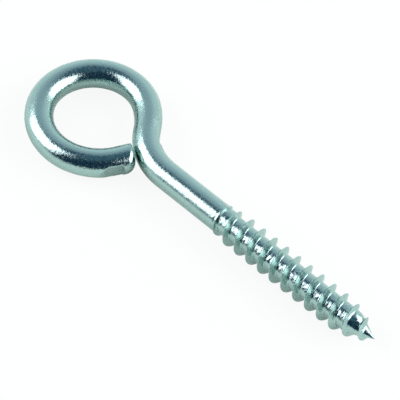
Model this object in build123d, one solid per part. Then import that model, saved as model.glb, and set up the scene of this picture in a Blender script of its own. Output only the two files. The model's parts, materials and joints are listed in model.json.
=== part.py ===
"""Screw eye: one round steel wire, bent into an eye, with a wood thread rolled on its shank.

The eye lies in the XY plane with the centre of its hole at the origin, and the shank runs along
+X to the gimlet point. Lengths are in millimetres and angles in degrees.
"""
import math
import os

from build123d import *

# Wire, eye and neck. Radii of bends are on the wire's centre.
wire_d = 6.6
eye_hole_d = 18.0       # clear hole of the eye
eye_angle = 155.4       # the round back of the eye
shoulder_r = 19.2       # gentler bend that leads from the neck into the eye
shoulder_angle = 20.0
tail_r = 13.8           # the last bend, sprung back a little wider
tail_angle = 121.2
neck_r = 14.8           # reverse bend that brings the shank in line with the eye
neck_angle = 54.4
shank_length = 15.6     # smooth shank between the neck and the thread

# Cut end of the wire, straight after the last bend
end_gap = 0.36          # left between the cut end and the neck
end_edge = 0.4          # broken edge of the cut face
end_nose = 2.3          # rolled-over outer corner, beside the neck
nose_tilt = 38.0        # the corner is rolled over this far below the plane of the eye

# Marks of the bending tools
flat_length = 2.2       # flat outside the tail, where the eye was pressed shut
flat_depth = 0.9
flat_from_end = 2.9
flat_step_length = 0.3  # steep side of the flat, towards the cut end
flat_ramp = 2.0         # gentle side of the flat
flat_tilt = 10.0        # below the plane of the eye
crease_depth = 0.55     # crease pinched into the inside of the neck
crease_width = 3.2
crease_angle = 36.0     # round the neck bend, from the shank

# Wood thread
thread_d = 8.4          # over the sharp crests
core_d = 5.5            # at the root
pitch = 3.5
thread_length = 47.3    # with the point
first_crest = 0.75      # from the start of the thread to the start of the ridge
head_angle = 32.0       # slope of the flank towards the eye, from square to the axis
tip_angle = 27.0        # slope of the flank towards the point
root_start_turns = 1.6  # turns over which the root sinks into the shank
ridge_rise_turns = 2.1  # turns over which the ridge rises to its full height
ogive_length = 11.0     # length over which the crests curve down to the point
ogive_r = 18.5
point_angle = 51.0      # full angle of the bare gimlet point
bare_point = 1.6        # point beyond the end of the ridge
ridge_end_turns = 0.2   # turns over which the ridge sinks into the point
piece_turns = 2 / 3     # longest piece of ridge that is swept at once

wire_r = wire_d / 2
thread_r = thread_d / 2
core_r = core_d / 2
eye_r = (eye_hole_d + wire_d) / 2
root_start = root_start_turns * pitch
ridge_rise = ridge_rise_turns * pitch
ogive_start = thread_length - ogive_length
ridge_end = thread_length - bare_point
point_slope = math.tan(math.radians(point_angle / 2))
point_start = thread_length - core_r / point_slope
spare = wire_r / 5      # how far a cutter or a buried foot passes through a surface


def bend_wire():
    """Centreline of the wire as tangent pieces, with the eye's back centred on the origin."""
    neck = JernArc(start=(0, 0), tangent=(-1, 0), radius=neck_r, arc_size=-neck_angle)
    shoulder = JernArc(start=neck @ 1, tangent=neck % 1, radius=shoulder_r, arc_size=shoulder_angle)
    back = JernArc(start=shoulder @ 1, tangent=shoulder % 1, radius=eye_r, arc_size=eye_angle)
    tail = JernArc(start=back @ 1, tangent=back % 1, radius=tail_r, arc_size=tail_angle)
    end = Line(tail @ 1, tail @ 1 + (tail % 1) * length_to_neck(tail, neck))
    shank = Line((shank_length, 0), (0, 0))
    to_origin = Pos(-back.arc_center)
    return [(to_origin * piece).edge() for piece in (shank, neck, shoulder, back, tail, end)]


def length_to_neck(tail, neck):
    """Straight run from the tail's end that stops end_gap short of the outside of the neck."""
    from_centre = tail @ 1 - neck.arc_center
    along = from_centre.dot(tail % 1)
    stop = neck_r + wire_r + end_gap
    return -along - math.sqrt(along**2 - from_centre.dot(from_centre) + stop**2)


def section_plane(path, from_start):
    """Plan-view plane on a path: x points to its right, out of the eye, and y along the wire."""
    along = path.tangent_at(from_start, position_mode=PositionMode.LENGTH)
    origin = path.position_at(from_start, position_mode=PositionMode.LENGTH)
    return Plane(origin=origin, x_dir=along.cross(Vector(0, 0, 1)), z_dir=(0, 0, 1))


def corner_cutter(path):
    """Cuts the outer corner of the wire's end round, most of all on the side next to the neck."""
    size = (end_nose + spare, end_nose + end_gap / 2)
    corner = Rectangle(*size, align=(Align.MIN, Align.MIN)) - Circle(end_nose)
    bar = Pos(wire_r - end_nose, -end_nose) * extrude(corner, wire_d, both=True)
    return section_plane(path, path.length) * Rot(0, nose_tilt, 0) * bar


def flat_cutter(path):
    """Cuts the pressed flat, with its steep and its gentle side, into the outside of the tail."""
    middle = path.length - flat_from_end - flat_length / 2
    bottom, top = wire_r - flat_depth, wire_r + spare
    widening = (top - bottom) / flat_depth
    outline = Polyline(
        (bottom, -flat_length / 2),
        (bottom, flat_length / 2),
        (top, flat_length / 2 + flat_step_length * widening),
        (top, -flat_length / 2 - flat_ramp * widening),
        close=True,
    )
    place = section_plane(path, middle) * Rot(0, flat_tilt, 0)
    return place * extrude(make_face(outline), wire_d, both=True)


def crease_cutter(neck):
    """Cuts the sharp crease across the inside of the neck bend."""
    bottom, top = wire_r - crease_depth, wire_r + crease_depth
    outline = Polyline((bottom, 0), (top, crease_width), (top, -crease_width), close=True)
    place = section_plane(neck, neck.length * crease_angle / neck_angle)
    return place * extrude(make_face(outline), wire_d, both=True)


def bent_wire():
    """The round wire along its centreline, with its cut end and the marks of bending."""
    centreline = bend_wire()
    path = Wire(centreline)
    inside_of_eye = Vector(0, 0, 1).cross(path % 0)
    section = Plane(origin=path @ 0, x_dir=inside_of_eye, z_dir=path % 0) * Circle(wire_r)
    wire = sweep(section, path=path)
    cut_face = wire.faces().sort_by_distance(path @ 1)[0]
    wire = chamfer(cut_face.edges(), end_edge)
    return wire - corner_cutter(path) - flat_cutter(path) - crease_cutter(centreline[1])


def root_radius(x):
    """Radius of the solid core, at a distance from the start of the thread."""
    grown = min(x / root_start, 1)
    return min(wire_r + (core_r - wire_r) * grown, (thread_length - x) * point_slope)


def crest_radius(x):
    """Radius over the crests: they grow out of the shank, then curve down to the point."""
    grown = min(x / ridge_rise, 1)
    past = max(x - ogive_start, 0)
    crest = wire_r + (thread_r - wire_r) * grown - ogive_r + math.sqrt(ogive_r**2 - past**2)
    left = min((ridge_end - x) / (ridge_end_turns * pitch), 1)
    return root_radius(x) + (crest - root_radius(x)) * left


def ridge_section(x):
    """Section of the ridge whose crest is x from the start, turned to its place on the helix."""
    head_slope, tip_slope = (math.tan(math.radians(angle)) for angle in (head_angle, tip_angle))
    crest = crest_radius(x)
    foot = max(root_radius(x) - spare, root_radius(x) / 2)
    depth = crest - foot
    section = Plane.XZ * make_face(Polyline(
        (foot, -depth * head_slope), (crest, 0), (foot, depth * tip_slope), close=True,
    ))
    return Rot(0, 0, 360 * (x - first_crest) / pitch) * Pos(0, 0, x) * section


def ridge_piece(start, length):
    """A short piece of the right-hand ridge, through a section at each end and midway."""
    turned = Rot(0, 0, 360 * (start - first_crest) / pitch) * Pos(0, 0, start)
    sections = [ridge_section(start + length * half / 2) for half in range(3)]
    helix = turned * Helix(pitch, length, core_r)
    return sweep(sections, path=helix, is_frenet=True, multisection=True)


def thread():
    """Threaded end along +Z: the core and, piece by piece, its ridge."""
    outline = Polyline(
        (0, 0), (wire_r, 0), (core_r, root_start), (core_r, point_start), (0, thread_length),
        close=True,
    )
    core = revolve(make_face(Plane.XZ * outline), Axis.Z)
    ridge_length = ridge_end - first_crest
    count = math.ceil(ridge_length / (pitch * piece_turns))
    piece = ridge_length / count
    ridge = [ridge_piece(first_crest + i * piece, piece) for i in range(count)]
    clear_of_ridge_ends = Rot(0, 0, 180)
    return clear_of_ridge_ends * core + ridge


def screw_eye():
    """The whole screw eye, as one solid."""
    wire = bent_wire()
    thread_start = bend_wire()[0] @ 0
    screw_end = Plane(origin=thread_start, x_dir=(0, 1, 0), z_dir=(1, 0, 0)) * thread()
    return wire + screw_end


os.makedirs("parts", exist_ok=True)
part = screw_eye()
export_step(part, "parts/screw_eye.step")
print("solids", len(part.solids()), "volume", round(part.volume, 1), "size", part.bounding_box().size)
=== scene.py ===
"""Zinc-plated screw eye: the fine form of its thread and bends, and its finish, in the CAD frame.

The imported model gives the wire's and the thread's sizes through its mounts. Lengths below are in
millimetres and angles in degrees; meshes are written in metres in the frame of the CAD model.
Distances x along the wire are from the start of the thread: positive towards the point, and
negative back round the eye to the cut end.
"""
import json
import math

import bpy
import numpy as np
from mathutils import Matrix, Vector


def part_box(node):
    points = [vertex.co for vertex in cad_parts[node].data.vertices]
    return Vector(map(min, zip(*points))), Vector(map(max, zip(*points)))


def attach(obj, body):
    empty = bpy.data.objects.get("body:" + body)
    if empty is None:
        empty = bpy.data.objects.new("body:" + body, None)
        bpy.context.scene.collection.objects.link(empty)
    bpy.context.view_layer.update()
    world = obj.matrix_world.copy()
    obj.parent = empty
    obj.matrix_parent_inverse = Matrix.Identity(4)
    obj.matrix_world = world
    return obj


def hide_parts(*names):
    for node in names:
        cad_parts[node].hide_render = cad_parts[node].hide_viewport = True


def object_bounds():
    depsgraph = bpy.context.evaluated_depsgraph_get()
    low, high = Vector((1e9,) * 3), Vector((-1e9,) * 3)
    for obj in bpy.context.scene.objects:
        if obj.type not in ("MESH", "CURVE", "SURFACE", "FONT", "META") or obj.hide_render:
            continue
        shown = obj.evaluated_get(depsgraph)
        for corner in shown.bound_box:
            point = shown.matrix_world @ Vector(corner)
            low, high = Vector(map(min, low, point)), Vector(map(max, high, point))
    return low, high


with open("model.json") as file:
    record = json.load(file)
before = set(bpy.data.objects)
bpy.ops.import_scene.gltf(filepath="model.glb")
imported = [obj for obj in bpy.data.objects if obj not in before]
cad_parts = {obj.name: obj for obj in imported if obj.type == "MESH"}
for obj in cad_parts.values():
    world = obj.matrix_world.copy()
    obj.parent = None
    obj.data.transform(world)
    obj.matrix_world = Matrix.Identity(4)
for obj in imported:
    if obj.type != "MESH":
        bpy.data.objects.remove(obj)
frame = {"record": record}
cad_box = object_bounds()

MM = 0.001
TURN = 2 * math.pi
TINY = 1e-4                 # a depth below this counts as none, and a rounding is at least this

mounts = {m["name"]: m for m in frame["record"]["mounts"]}
eye, thread = mounts["eye"], mounts["wood_thread"]

# Wire, eye and neck, as in the CAD model. Radii of bends are on the wire's centre.
INSIDE = 0.01               # keeps the smooth surface inside the box of the CAD model
WIRE_R = eye["dims"]["length_mm"] / 2 - INSIDE
EYE_R = eye["dims"]["r_mm"] + eye["dims"]["length_mm"] / 2
THREAD_R = thread["dims"]["r_mm"] - INSIDE
THREAD_LENGTH = thread["dims"]["length_mm"]
THREAD_START = Vector(thread["pos_m"]) / MM - Vector((THREAD_LENGTH / 2, 0, 0))
SHANK_LENGTH = 15.6
NECK = (14.8, -54.4)        # radius and turn to the left, going from the shank round to the cut end
SHOULDER = (19.2, 20.0)
BACK = (EYE_R, 155.4)
TAIL = (13.8, 121.2)
BENDS = (NECK, SHOULDER, BACK, TAIL)
END_LENGTH = 3.8            # straight cut end
PAST_CUT = 1.0              # the centreline goes on this far, so that no rounding ends it early

# Cut end: the corner is rolled over by NOSE_MAX at NOSE_AT round the wire, by NOSE_MIN opposite
NOSE_MAX = 2.5
NOSE_MIN = 0.22
NOSE_AT = -38.0
NOSE_SPREAD = 0.6           # power: the lower, the further round the wire the corner stays rolled

# Flat pressed into the outside of the tail, and the lip that the press raised beside it
FLAT_AT = -12.0
FLAT_DEPTH = 0.95
FLAT_FROM_END = 2.9         # from the cut face to the foot of its steep side
FLAT_STEP = 0.45
FLAT_LENGTH = 2.3
FLAT_RAMP = 2.6
FLAT_EDGE = 0.06            # rounding of its edge
LIP_HEIGHT = 0.03
LIP_WIDTH = 0.5
LIP_SPREAD = 0.75           # round the wire, in radians

# Crease pinched into the inside of the neck, and the slight squeeze of the wire beside it
CREASE_AT = 33.5            # round the neck bend, from the shank
CREASE_DEPTH = 0.78
CREASE_EYE_SIDE = 4.4       # its gentle side, towards the eye
CREASE_SHANK_SIDE = 1.5
CREASE_EDGE = 0.05          # rounding of its edge
CREASE_X = -(SHANK_LENGTH + math.radians(CREASE_AT) * NECK[0])
SQUEEZE = 0.17
SQUEEZE_AT = -29.5          # x of its middle
SQUEEZE_WIDTH = 4.5
LEAST_FACING = 0.05         # cosine: a tool's mark goes no further round the wire than this

# Rolled thread
ROOT_R = 2.78
PITCH = 3.5
FIRST_CREST = 0.76          # x of the first crest at angle 0, but for the lag
CREST_WIDTH = 0.08
HEAD_FLANK = 29.5           # slopes towards the eye and the point, from square to the axis
TIP_FLANK = 28.0
SINK_FROM = 1.2             # x where the root begins to sink into the shank
ROOT_SINK = 4.5             # length over which the root sinks
LEVEL_AFTER = 0.3           # how far after SINK_FROM the valleys begin to be level
LEVEL_OVER = 1.0            # length over which they become so
CREST_RISE = 6.8            # length over which the ridge rises to its full height
OGIVE_LENGTH = 11.2         # length over which the crests curve down to the point
OGIVE_R = 19.0              # radius of that curve
POINT_ANGLE = 50.0
POINT_SHOULDER = 0.5        # rounding where the core meets the point's cone
BARE_POINT = 1.6            # length of the point that has no ridge
RIDGE_SINK = 0.7            # length over which the ridge sinks into the point
START_LAG = 0.9             # the ridge starts this much late, and catches up with its helix
LAG_FROM = 1.9
LAG_OVER = 1.0
START_RISE = 1.2            # length over which the ridge leaves the core
START_FLANK = 62.0          # flank towards the eye where the ridge starts
START_FLANK_OVER = 2.0      # length over which it steepens to HEAD_FLANK
ROOT_FILLET = 0.2           # rounding between root and flank
FULL_FILLET_RIDGE = 0.5     # height of ridge that has the whole fillet
CREST_ROUND = 0.01          # rounding of the crest's edges
ROLL_MARKS = 0.012          # height of the marks that the dies left in the roots
MARKS_FINEST = 7.0          # their finest waves, in radians for each millimetre
MARKS_FADE_IN = 1.5         # length over which they begin
RIPPLE_SEED = 7
RIPPLE_WAVES = 24

# Mesh
AROUND = 144                # vertices round the wire
ROW_STEP = 0.7              # between rows on the plain wire
CUT_FACE_RINGS = (0.0, 0.35, 0.7, 0.93)     # shares of the cut face's radius
END_ROWS = (0, 0.01, 0.03, 0.06, 0.1, 0.15, 0.2, 0.26, 0.33, 0.41, 0.5)     # from the cut face
END_ROW_STEP = 0.1          # between the rows that follow
MARKED_END = 9              # length at the cut end that they cover
NECK_ROW_STEP = 0.15        # between rows at the crease
NECK_MARGINS = (0.2, 0.3)   # beyond the crease, towards the eye and the shank
JOIN = -1.4                 # where the plain wire's rows meet the rows that follow the thread
TURN_ROWS = 28              # rows from one crest to the next
CREST_ROWS = (0, 0.03, 0.15, 0.3)           # from the crest's edge, on either side
TIP_FOOT_ROWS = (-0.25, -0.12, 0, 0.1)      # from the foot of the flank towards the point
HEAD_FOOT_ROWS = (-0.1, 0, 0.12, 0.3)       # from the foot of the next ridge's flank
ROOT_MARGIN = 0.22          # from either foot to the even rows of the root
HELIX_STEP = 0.02           # between the places at which the ridge's lag is worked out
WELD_DIGITS = 4             # vertices that agree to so many digits of a millimetre are one
SHARP_ANGLE = 50            # edges above this aren't shaded smooth


def smooth_step(x):
    """0 below 0, 1 above 1 and smooth between."""
    t = np.clip(x, 0, 1)
    return t * t * (3 - 2 * t)


def smooth_max(a, b, width):
    """The larger of a and b, with the corner between them rounded over a width."""
    h = np.clip(0.5 + (a - b) / (2 * width), 0, 1)
    return b + (a - b) * h + width * h * (1 - h)


def ripple(x, theta, finest):
    """Seeded unevenness of about +-1 over the core, whole round the wire, with waves up to finest."""
    rng = np.random.default_rng(RIPPLE_SEED)
    total = np.zeros(np.broadcast(x, theta).shape)
    for _ in range(RIPPLE_WAVES):
        round_it = rng.integers(0, round(finest * ROOT_R))
        along = rng.uniform(-finest, finest)
        total = total + np.sin(round_it * theta + along * x + rng.uniform(0, TURN))
    return total / math.sqrt(RIPPLE_WAVES / 2)


# ---- centreline -----------------------------------------------------------------------------------

def arc_length(radius, turn):
    """Length of a bend on the wire's centre."""
    return abs(math.radians(turn)) * radius


CUT_END = -(SHANK_LENGTH + sum(arc_length(*bend) for bend in BENDS) + END_LENGTH)


def centreline(x):
    """Centre of the wire and heading back along it, at distances x."""
    back = np.maximum(-x, 0)
    place = np.array([THREAD_START.x, THREAD_START.y])
    heading = math.pi
    centre = np.repeat(place[None], x.size, 0) + np.outer(np.maximum(x, 0), [1.0, 0.0])
    headings = np.full(x.size, heading)
    gone = 0.0
    stretches = [(None, SHANK_LENGTH)]
    stretches += [(bend, arc_length(*bend)) for bend in BENDS]
    stretches += [(None, END_LENGTH + PAST_CUT)]
    for bend, length in stretches:
        here = (back > gone) & (back <= gone + length)
        ahead = np.array([math.cos(heading), math.sin(heading)])
        run = back[here] - gone
        if bend is None:
            centre[here] = place + np.outer(run, ahead)
            headings[here] = heading
            place = place + length * ahead
        else:
            radius, side = bend[0], math.copysign(1, bend[1])
            hub = place + side * radius * np.array([-ahead[1], ahead[0]])
            angle = heading + side * run / radius
            centre[here] = hub + side * radius * np.stack([np.sin(angle), -np.cos(angle)], 1)
            headings[here] = angle
            heading += side * length / radius
            place = hub + side * radius * np.array([math.sin(heading), -math.cos(heading)])
        gone += length
    return centre, headings


def surface(x, theta, r):
    """Points at radius r and angle theta, from the outside of the bend towards +Z, at x."""
    centre, heading = centreline(x)
    side = np.stack([np.sin(heading), -np.cos(heading)], 1)
    flat = centre + side * (r * np.cos(theta))[:, None]
    return np.column_stack([flat, r * np.sin(theta)])


# ---- sections -------------------------------------------------------------------------------------

def angle_from(theta, at):
    """Angle from a direction round the wire, from -pi to pi."""
    return (theta - math.radians(at) + math.pi) % TURN - math.pi


def pressed(r, theta, at, depth, soft):
    """Radius after a flat of some depth is pressed into the side at an angle."""
    facing = np.cos(theta - math.radians(at))
    limit = (WIRE_R - depth) / np.maximum(facing, LEAST_FACING)
    return -smooth_max(-r, -limit, soft)


def wire_radius(x, theta):
    """Radius of the plain wire, with its cut end and the marks of bending."""
    r = np.full(np.broadcast(x, theta).shape, WIRE_R)
    squeeze = SQUEEZE * np.exp(-((x - SQUEEZE_AT) / SQUEEZE_WIDTH) ** 2)
    r = r - squeeze * np.cos(theta) ** 2
    reach = np.where(x < CREASE_X, CREASE_EYE_SIDE, CREASE_SHANK_SIDE)
    crease = CREASE_DEPTH * np.clip(1 - np.abs(x - CREASE_X) / reach, 0, 1)
    r = np.where(crease > 0, pressed(r, theta, 0, crease, CREASE_EDGE), r)

    from_end = x - CUT_END
    ramp_end = FLAT_FROM_END + FLAT_STEP + FLAT_LENGTH + FLAT_RAMP
    rise = smooth_step((from_end - FLAT_FROM_END) / FLAT_STEP)
    fall = smooth_step((ramp_end - from_end) / FLAT_RAMP)
    flat = FLAT_DEPTH * rise * fall
    r = np.where(flat > TINY, pressed(r, theta, FLAT_AT, flat, FLAT_EDGE), r)
    lip = LIP_HEIGHT * np.exp(-((from_end - FLAT_FROM_END + LIP_WIDTH / 2) / LIP_WIDTH) ** 2)
    r = r + lip * np.exp(-(angle_from(theta, FLAT_AT) / LIP_SPREAD) ** 2)

    toward = 0.5 + 0.5 * np.cos(theta - math.radians(NOSE_AT))
    nose = NOSE_MIN + (NOSE_MAX - NOSE_MIN) * toward ** NOSE_SPREAD
    short = np.clip(nose - from_end, 0, nose)
    return r - nose + np.sqrt(np.maximum(nose ** 2 - short ** 2, 0))


def root_radius(x, valley):
    """Radius of the thread's core at x, in the valley whose middle is given, with a rounded shoulder at
    the point."""
    grown = smooth_step((valley - SINK_FROM) / ROOT_SINK)
    core = WIRE_R + (ROOT_R - WIRE_R) * grown
    cone = (THREAD_LENGTH - x) * math.tan(math.radians(POINT_ANGLE / 2))
    return np.maximum(-smooth_max(-core, -cone, POINT_SHOULDER), 0)


def crest_radius(x):
    """Radius over the crests: out of the shank, then curving down to the point."""
    grown = np.clip(x / CREST_RISE, 0, 1)
    past = np.maximum(x - (THREAD_LENGTH - OGIVE_LENGTH), 0)
    return WIRE_R + (THREAD_R - WIRE_R) * grown - OGIVE_R + np.sqrt(OGIVE_R ** 2 - past ** 2)


def start_lag(x):
    """How far the ridge is behind its helix."""
    return START_LAG * (1 - smooth_step((x - LAG_FROM) / LAG_OVER))


def thread_radius(x, theta):
    """Radius of the rolled thread: the ridge on its core."""
    turn = (x - start_lag(x) - FIRST_CREST) / PITCH - theta / TURN
    off_crest = (turn - np.round(turn)) * PITCH
    ridge_x = x - off_crest

    level = smooth_step((x - SINK_FROM - LEVEL_AFTER) / LEVEL_OVER)
    root = root_radius(x, x - (turn - np.floor(turn) - 0.5) * PITCH * level)
    left = np.clip((THREAD_LENGTH - BARE_POINT - ridge_x) / RIDGE_SINK, 0, 1)
    come = smooth_step((ridge_x - FIRST_CREST) / START_RISE)
    crest = np.clip(crest_radius(ridge_x), 0, THREAD_R)
    crest = root + (crest - root) * left * come

    opening = 1 - smooth_step((ridge_x - LAG_FROM) / START_FLANK_OVER)
    head_flank = HEAD_FLANK + (START_FLANK - HEAD_FLANK) * opening
    slope = np.tan(np.radians(np.where(off_crest < 0, head_flank, TIP_FLANK)))
    down = smooth_max(np.abs(off_crest) - CREST_WIDTH / 2, np.zeros_like(x), CREST_ROUND)
    fillet = np.maximum(ROOT_FILLET * np.clip((crest - root) / FULL_FILLET_RIDGE, 0, 1), TINY)
    marks = ROLL_MARKS * ripple(x, theta, MARKS_FINEST)
    marks = marks * np.clip(x / MARKS_FADE_IN, 0, 1) * np.clip(root / ROOT_R, 0, 1)
    r = smooth_max(crest - down / slope, root + marks, fillet)
    return np.minimum(r, THREAD_R)


# ---- the piece ------------------------------------------------------------------------------------

def wire_rows():
    """Places of the plain wire's rows, close together at the cut end and at its marks."""
    at_end = CUT_END + np.array(END_ROWS)
    first = END_ROWS[-1] + END_ROW_STEP
    near_end = np.arange(CUT_END + first, CUT_END + MARKED_END, END_ROW_STEP)
    crease_from = CREASE_X - CREASE_EYE_SIDE
    crease_to = CREASE_X + CREASE_SHANK_SIDE
    ring = np.arange(near_end[-1] + ROW_STEP, crease_from - ROW_STEP, ROW_STEP)
    neck = np.arange(crease_from - NECK_MARGINS[0], crease_to + NECK_MARGINS[1], NECK_ROW_STEP)
    shank = np.linspace(neck[-1] + ROW_STEP, JOIN, round((JOIN - neck[-1]) / ROW_STEP))
    return np.concatenate([at_end, near_end, ring, neck, shank])


def turn_offsets():
    """Places of the rows from one crest to the next: close together at the crest and the roots."""
    half = CREST_WIDTH / 2
    foot_tip = half + (THREAD_R - ROOT_R) * math.tan(math.radians(TIP_FLANK))
    foot_head = PITCH - half - (THREAD_R - ROOT_R) * math.tan(math.radians(HEAD_FLANK))
    tip_side = [half + step for step in CREST_ROWS] + [foot_tip + step for step in TIP_FOOT_ROWS]
    head_side = [foot_head + step for step in HEAD_FOOT_ROWS]
    head_side += [PITCH - half - step for step in reversed(CREST_ROWS)]
    root_rows = TURN_ROWS - 1 - len(tip_side) - len(head_side)
    root = list(np.linspace(foot_tip + ROOT_MARGIN, foot_head - ROOT_MARGIN, root_rows))
    return np.array([0.0] + tip_side + root + head_side)


def screw_mesh():
    """Vertices and faces of the whole screw eye, in millimetres."""
    angles = np.arange(AROUND) * TURN / AROUND
    points, faces = [], []

    def add_row(x, r):
        points.append(surface(x, angles, r))

    # Cut face: its middle, then rings out to its edge
    at_cut = np.full(AROUND, CUT_END)
    edge = wire_radius(at_cut, angles)
    for share in CUT_FACE_RINGS:
        add_row(at_cut, edge * share)
    for place in wire_rows():
        x = np.full(AROUND, place)
        add_row(x, wire_radius(x, angles))
    plain = len(points)
    for i in range(plain - 1):
        low, high = i * AROUND, (i + 1) * AROUND
        for j in range(AROUND):
            right = (j + 1) % AROUND
            faces.append((low + j, low + right, high + right, high + j))

    # Thread: the rows follow the ridge, so a row comes round one turn further along
    offsets = turn_offsets()
    first = math.floor((JOIN - FIRST_CREST) / PITCH) - 1
    turns = math.ceil((THREAD_LENGTH - FIRST_CREST) / PITCH) + 1 - first
    starts = (FIRST_CREST + (first + np.arange(turns))[:, None] * PITCH + offsets).ravel()
    along = np.arange(JOIN, THREAD_LENGTH - INSIDE, HELIX_STEP)
    for start in starts:
        x = np.interp(start + PITCH * angles / TURN, along - start_lag(along), along)
        add_row(x, thread_radius(x, angles))
    rows, per_turn = len(starts), len(offsets)
    base = plain * AROUND
    for i in range(rows - 1):
        low, high = base + i * AROUND, base + (i + 1) * AROUND
        turn_low = base + min(i + per_turn, rows - 1) * AROUND
        turn_high = base + min(i + 1 + per_turn, rows - 1) * AROUND
        for j in range(AROUND - 1):
            faces.append((low + j, low + j + 1, high + j + 1, high + j))
        faces.append((low + AROUND - 1, turn_low, turn_high, high + AROUND - 1))
    return np.vstack(points), np.array(faces)


def weld(points, faces):
    """Joins vertices that lie on each other, and drops the faces that close up."""
    keys = np.round(points, WELD_DIGITS)
    unique, index = np.unique(keys, axis=0, return_inverse=True)
    index = index.ravel()
    place = np.zeros_like(unique)
    place[index] = points
    kept = []
    for face in index[faces]:
        corners = [int(corner) for at, corner in enumerate(face) if corner != face[at - 1]]
        if len(set(corners)) >= 3 and len(set(corners)) == len(corners):
            kept.append(corners)
    return place, kept


def make_piece(name, points, faces, material):
    """A smooth-shaded mesh object in metres."""
    mesh = bpy.data.meshes.new(name)
    mesh.from_pydata((points * MM).tolist(), [], faces)
    mesh.validate()
    mesh.polygons.foreach_set("use_smooth", [True] * len(mesh.polygons))
    mesh.set_sharp_from_angle(angle=math.radians(SHARP_ANGLE))
    mesh.materials.append(material)
    piece = bpy.data.objects.new(name, mesh)
    bpy.context.scene.collection.objects.link(piece)
    return piece


# ---- materials ------------------------------------------------------------------------------------

ZINC = (0.385, 0.54, 0.5)
SMOOTHEST = 0.11            # roughness of the plating between its grains
ROUGHEST = 0.28
GRAIN_SCALE = 1900          # of the speckle, in 1/m
GRAIN_DETAIL = 3.0
GRAIN_ROUGHNESS = 0.7       # how much of the finer waves the speckle holds
GRAIN_HEIGHT = 0.00005      # m
GRAIN_FROM = 0.45           # the speckle's values at which the plating is smoothest and roughest
GRAIN_TO = 0.6
CLOUD_SCALE = 260           # of the slow change of tint, in 1/m
CLOUD_DETAIL = 3.0
CLOUD_DARK = 0.94           # shares of the zinc's colour that it goes between
CLOUD_PALE = 1.06
PAPER = (0.84, 0.93, 0.84, 1)
WHITE_SEEN = 0.9            # share of pure white in the floor that the camera sees
WHITE_MIRRORED = 0.15       # share of pure white in the floor that the metal mirrors


class Nodes:
    """Short calls to build a node tree."""

    def __init__(self, tree):
        tree.nodes.clear()
        self.tree = tree

    def add(self, kind, **values):
        node = self.tree.nodes.new(kind)
        inputs = values.pop("inputs", {})
        for key, value in values.items():
            setattr(node, key, value)
        for key, value in inputs.items():
            if isinstance(value, bpy.types.NodeSocket):
                self.tree.links.new(value, node.inputs[key])
            else:
                node.inputs[key].default_value = value
        return node


def zinc_plating():
    """Bright blue-passivated zinc: metal whose gloss changes from grain to grain, and slowly its tint."""
    material = bpy.data.materials.new("zinc_plating")
    material.use_nodes = True
    nodes = Nodes(material.node_tree)
    place = nodes.add("ShaderNodeTexCoord").outputs["Object"]
    speckle = nodes.add("ShaderNodeTexNoise", inputs={
        "Vector": place, "Scale": GRAIN_SCALE, "Detail": GRAIN_DETAIL, "Roughness": GRAIN_ROUGHNESS})
    cloud = nodes.add("ShaderNodeTexNoise", inputs={
        "Vector": place, "Scale": CLOUD_SCALE, "Detail": CLOUD_DETAIL})
    rough = nodes.add("ShaderNodeMapRange", inputs={
        "Value": speckle.outputs["Fac"], "From Min": GRAIN_FROM, "From Max": GRAIN_TO,
        "To Min": SMOOTHEST, "To Max": ROUGHEST})
    tint = nodes.add("ShaderNodeMix", data_type="RGBA", inputs={
        "Factor": cloud.outputs["Fac"],
        "A": (*(c * CLOUD_DARK for c in ZINC), 1),
        "B": (*(c * CLOUD_PALE for c in ZINC), 1)})
    bump = nodes.add("ShaderNodeBump", inputs={
        "Height": speckle.outputs["Fac"], "Strength": 1.0, "Distance": GRAIN_HEIGHT})
    shader = nodes.add("ShaderNodeBsdfPrincipled", inputs={
        "Base Color": tint.outputs["Result"], "Metallic": 1.0, "Roughness": rough.outputs["Result"],
        "Normal": bump.outputs["Normal"]})
    nodes.add("ShaderNodeOutputMaterial", inputs={"Surface": shader.outputs["BSDF"]})
    return material


def floor_paper():
    """Pale paper. The camera sees it nearer to pure white, so that its shadows are faint, and so, in
    part, does the metal."""
    material = bpy.data.materials.new("floor_paper")
    material.use_nodes = True
    nodes = Nodes(material.node_tree)
    paper = nodes.add("ShaderNodeBsdfDiffuse", inputs={"Color": PAPER})
    white = nodes.add("ShaderNodeEmission", inputs={"Color": (1, 1, 1, 1), "Strength": 1.0})
    rays = nodes.add("ShaderNodeLightPath")
    seen = nodes.add("ShaderNodeMath", operation="MAXIMUM", inputs={
        0: rays.outputs["Is Camera Ray"], 1: rays.outputs["Is Transmission Ray"]})
    seen_share = nodes.add("ShaderNodeMath", operation="MULTIPLY", inputs={0: seen.outputs[0], 1: WHITE_SEEN})
    share = nodes.add("ShaderNodeMath", operation="MULTIPLY_ADD", inputs={
        0: rays.outputs["Is Glossy Ray"], 1: WHITE_MIRRORED, 2: seen_share.outputs[0]})
    mix = nodes.add("ShaderNodeMixShader", inputs={
        0: share.outputs[0], 1: paper.outputs[0], 2: white.outputs[0]})
    nodes.add("ShaderNodeOutputMaterial", inputs={"Surface": mix.outputs[0]})
    return material


# ---- stage, light and camera ----------------------------------------------------------------------

CAMERA_YAW = 42.238         # of the shank from the picture's right, seen from above
CAMERA_PITCH = 51.585       # down from level
CAMERA_ROLL = 2.783
CAMERA_DISTANCE = 611.6
CAMERA_LENS = 248.85
CAMERA_CLIP_START = 0.01    # m
NECK_TO_AIM = (-7.913, 6.731)
FLOOR_HALF = 5.0            # m

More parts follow.
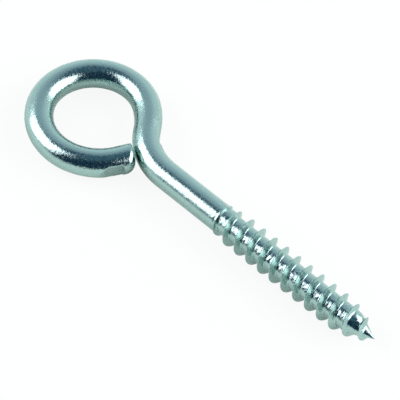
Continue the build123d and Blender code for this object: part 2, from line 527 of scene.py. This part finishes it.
# The room's colours. Heights are sines of the elevation seen from the object.
WALLS = (0.80, 0.93, 1.0, 1)
HIGH_WALLS = (0.28, 0.38, 0.50, 1)
HIGH_WALLS_FROM = 0.35
CEILING = (0.075, 0.158, 0.24, 1)
CEILING_FROM = 0.8
STRAIGHT_UP = 1.0
DARK_ROOM = (0.013, 0.044, 0.085, 1)
DARK_SIDE = (-12, 50)       # azimuth and elevation of its middle
DARK_EDGE = (0.34, 0.56)    # cosines of the angles from its middle where it starts and is full
SOFTBOX_DISTANCE = 0.6      # m
SOFTBOX_LEVEL = 3.7         # radiance
SOFTBOX_COLOUR = (1.0, 0.93, 1.0)
SOFTBOXES = {               # azimuth and elevation, lean, and the width and height seen from the object
    "softbox_left": ((-97, 35), 22, (45, 45)),
    "softbox_right": ((83, 30), 0, (64, 48)),
}


def camera():
    """Adds the camera at the photograph's viewing angle, and gives the turn from its side to the frame."""
    yaw, pitch, roll = (math.radians(a) for a in (CAMERA_YAW, CAMERA_PITCH, CAMERA_ROLL))
    forward = Vector((0, math.cos(pitch), -math.sin(pitch)))
    right, down = Vector((1, 0, 0)), Vector((0, -math.sin(pitch), -math.cos(pitch)))
    to_cad = Matrix.Rotation(yaw, 3, "Z")
    neck = THREAD_START - Vector((SHANK_LENGTH, 0, 0))
    place = to_cad @ (-CAMERA_DISTANCE * forward - Vector((*NECK_TO_AIM, 0))) + neck
    across = math.cos(roll) * right - math.sin(roll) * down
    up = -(math.sin(roll) * right + math.cos(roll) * down)
    axes = Matrix((to_cad @ across, to_cad @ up, to_cad @ -forward)).transposed()
    data = bpy.data.cameras.new("camera")
    data.lens = CAMERA_LENS
    data.clip_start = CAMERA_CLIP_START
    item = bpy.data.objects.new("camera", data)
    item.matrix_world = Matrix.Translation(place * MM) @ axes.to_4x4()
    bpy.context.scene.collection.objects.link(item)
    bpy.context.scene.camera = item
    return to_cad


def direction_from(azimuth, elevation, to_cad):
    """Unit vector from the object. Azimuth 0 is the camera's side, 90 the picture's right."""
    azimuth, elevation = math.radians(azimuth), math.radians(elevation)
    across, away = math.sin(azimuth) * math.cos(elevation), -math.cos(azimuth) * math.cos(elevation)
    return to_cad @ Vector((across, away, math.sin(elevation)))


def softbox(name, toward, lean, width, height):
    """A rectangular lamp aimed at the object, that leans and spans two angles seen from there."""
    wide = 2 * SOFTBOX_DISTANCE * math.tan(math.radians(width / 2))
    high = 2 * SOFTBOX_DISTANCE * math.tan(math.radians(height / 2))
    data = bpy.data.lights.new(name, "AREA")
    data.shape = "RECTANGLE"
    data.size, data.size_y = wide, high
    data.color = SOFTBOX_COLOUR
    data.energy = SOFTBOX_LEVEL * math.pi * wide * high
    lamp = bpy.data.objects.new(name, data)
    upright = (-toward).to_track_quat("-Z", "Y").to_matrix().to_4x4()
    middle = (Vector(cad_box[0]) + Vector(cad_box[1])) / 2
    leaning = Matrix.Rotation(math.radians(lean), 4, "Z")
    lamp.matrix_world = Matrix.Translation(middle + toward * SOFTBOX_DISTANCE) @ upright @ leaning
    lamp.visible_camera = False
    bpy.context.scene.collection.objects.link(lamp)


def studio(to_cad):
    """The room: pale behind the object and to its sides, dark above it and on the camera's side."""
    world = bpy.data.worlds.new("studio")
    world.use_nodes = True
    bpy.context.scene.world = world
    nodes = Nodes(world.node_tree)
    direction = nodes.add("ShaderNodeTexCoord").outputs["Generated"]
    height = nodes.add("ShaderNodeSeparateXYZ", inputs={0: direction}).outputs["Z"]

    def by_height(start, low, high):
        share = nodes.add("ShaderNodeMapRange", inputs={
            "Value": height, "From Min": start, "From Max": STRAIGHT_UP})
        return nodes.add("ShaderNodeMix", data_type="RGBA", inputs={
            "Factor": share.outputs["Result"], "A": low, "B": high}).outputs["Result"]

    dark_side = direction_from(*DARK_SIDE, to_cad)
    facing = nodes.add("ShaderNodeVectorMath", operation="DOT_PRODUCT", inputs={
        0: direction, 1: dark_side[:]})
    dark = nodes.add("ShaderNodeMapRange", interpolation_type="SMOOTHSTEP", inputs={
        "Value": facing.outputs["Value"], "From Min": DARK_EDGE[0], "From Max": DARK_EDGE[1]})
    colour = nodes.add("ShaderNodeMix", data_type="RGBA", inputs={
        "Factor": dark.outputs["Result"], "A": by_height(HIGH_WALLS_FROM, WALLS, HIGH_WALLS),
        "B": by_height(CEILING_FROM, DARK_ROOM, CEILING)})
    room = nodes.add("ShaderNodeBackground", inputs={"Color": colour.outputs["Result"], "Strength": 1.0})
    nodes.add("ShaderNodeOutputWorld", inputs={"Surface": room.outputs[0]})


def floor():
    """A plain floor under the crests of the thread, which reach lowest."""
    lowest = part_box("screw_eye")[0].z
    half = FLOOR_HALF
    mesh = bpy.data.meshes.new("floor")
    corners = [(-half, -half, lowest), (half, -half, lowest), (half, half, lowest), (-half, half, lowest)]
    mesh.from_pydata(corners, [], [(0, 1, 2, 3)])
    mesh.materials.append(floor_paper())
    item = bpy.data.objects.new("floor", mesh)
    bpy.context.scene.collection.objects.link(item)


screw = make_piece("screw_eye_plated", *weld(*screw_mesh()), zinc_plating())
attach(screw, "root")
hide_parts("screw_eye")

floor()
to_cad = camera()
for name, (place, lean, spans) in SOFTBOXES.items():
    softbox(name, direction_from(*place, to_cad), lean, *spans)
studio(to_cad)

scene = bpy.context.scene
scene.view_settings.view_transform = "Standard"
